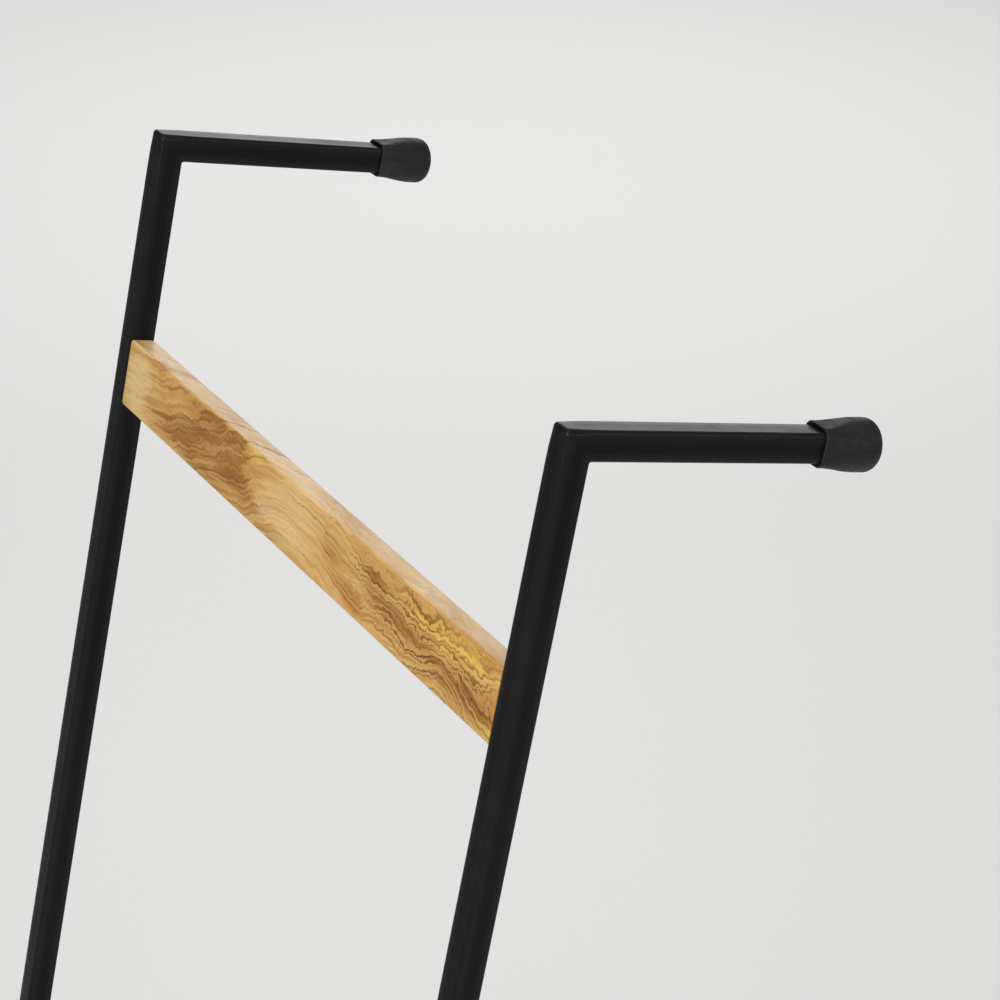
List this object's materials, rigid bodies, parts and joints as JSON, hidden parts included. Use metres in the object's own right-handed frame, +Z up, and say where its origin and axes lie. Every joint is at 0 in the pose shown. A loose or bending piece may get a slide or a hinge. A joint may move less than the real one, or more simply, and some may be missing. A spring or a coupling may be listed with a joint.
{
  "type": "blanket ladder",
  "caption": "Leaning blanket ladder: black square-tube side frames with short wall arms, rubber end caps and flat wooden rungs to hang quilts on.",
  "frame": {"origin": "bottom centre of the rack's bounding box, on the floor, in the in-use pose", "axes": "+Z up; +Y towards the wall that the rack leans on; X along the rungs, +X to the right of someone who faces the wall"},
  "size_m": [0.4164, 0.495, 1.8067],
  "materials": {
    "powder_coat": "satin black powder coat",
    "rubber": "matte black",
    "wood": "satin lacquer over figured honey-brown wood",
    "steel": "plain turned steel"
  },
  "bodies": {
    "root": {"left_rail": "powder_coat", "left_arm": "powder_coat", "left_wall_cap": "rubber", "left_foot_cap": "rubber", "right_rail": "powder_coat", "right_arm": "powder_coat", "right_wall_cap": "rubber", "right_foot_cap": "rubber", "rung_1": "wood", "rung_1_pin_left_upper": "steel", "rung_1_pin_left_lower": "steel", "rung_1_pin_right_upper": "steel", "rung_1_pin_right_lower": "steel", "rung_2": "wood", "rung_2_pin_left_upper": "steel", "rung_2_pin_left_lower": "steel", "rung_2_pin_right_upper": "steel", "rung_2_pin_right_lower": "steel", "rung_3": "wood", "rung_3_pin_left_upper": "steel", "rung_3_pin_left_lower": "steel", "rung_3_pin_right_upper": "steel", "rung_3_pin_right_lower": "steel", "rung_4": "wood", "rung_4_pin_left_upper": "steel", "rung_4_pin_left_lower": "steel", "rung_4_pin_right_upper": "steel", "rung_4_pin_right_lower": "steel", "rung_5": "wood", "rung_5_pin_left_upper": "steel", "rung_5_pin_left_lower": "steel", "rung_5_pin_right_upper": "steel", "rung_5_pin_right_lower": "steel"}
  },
  "joints": []
}
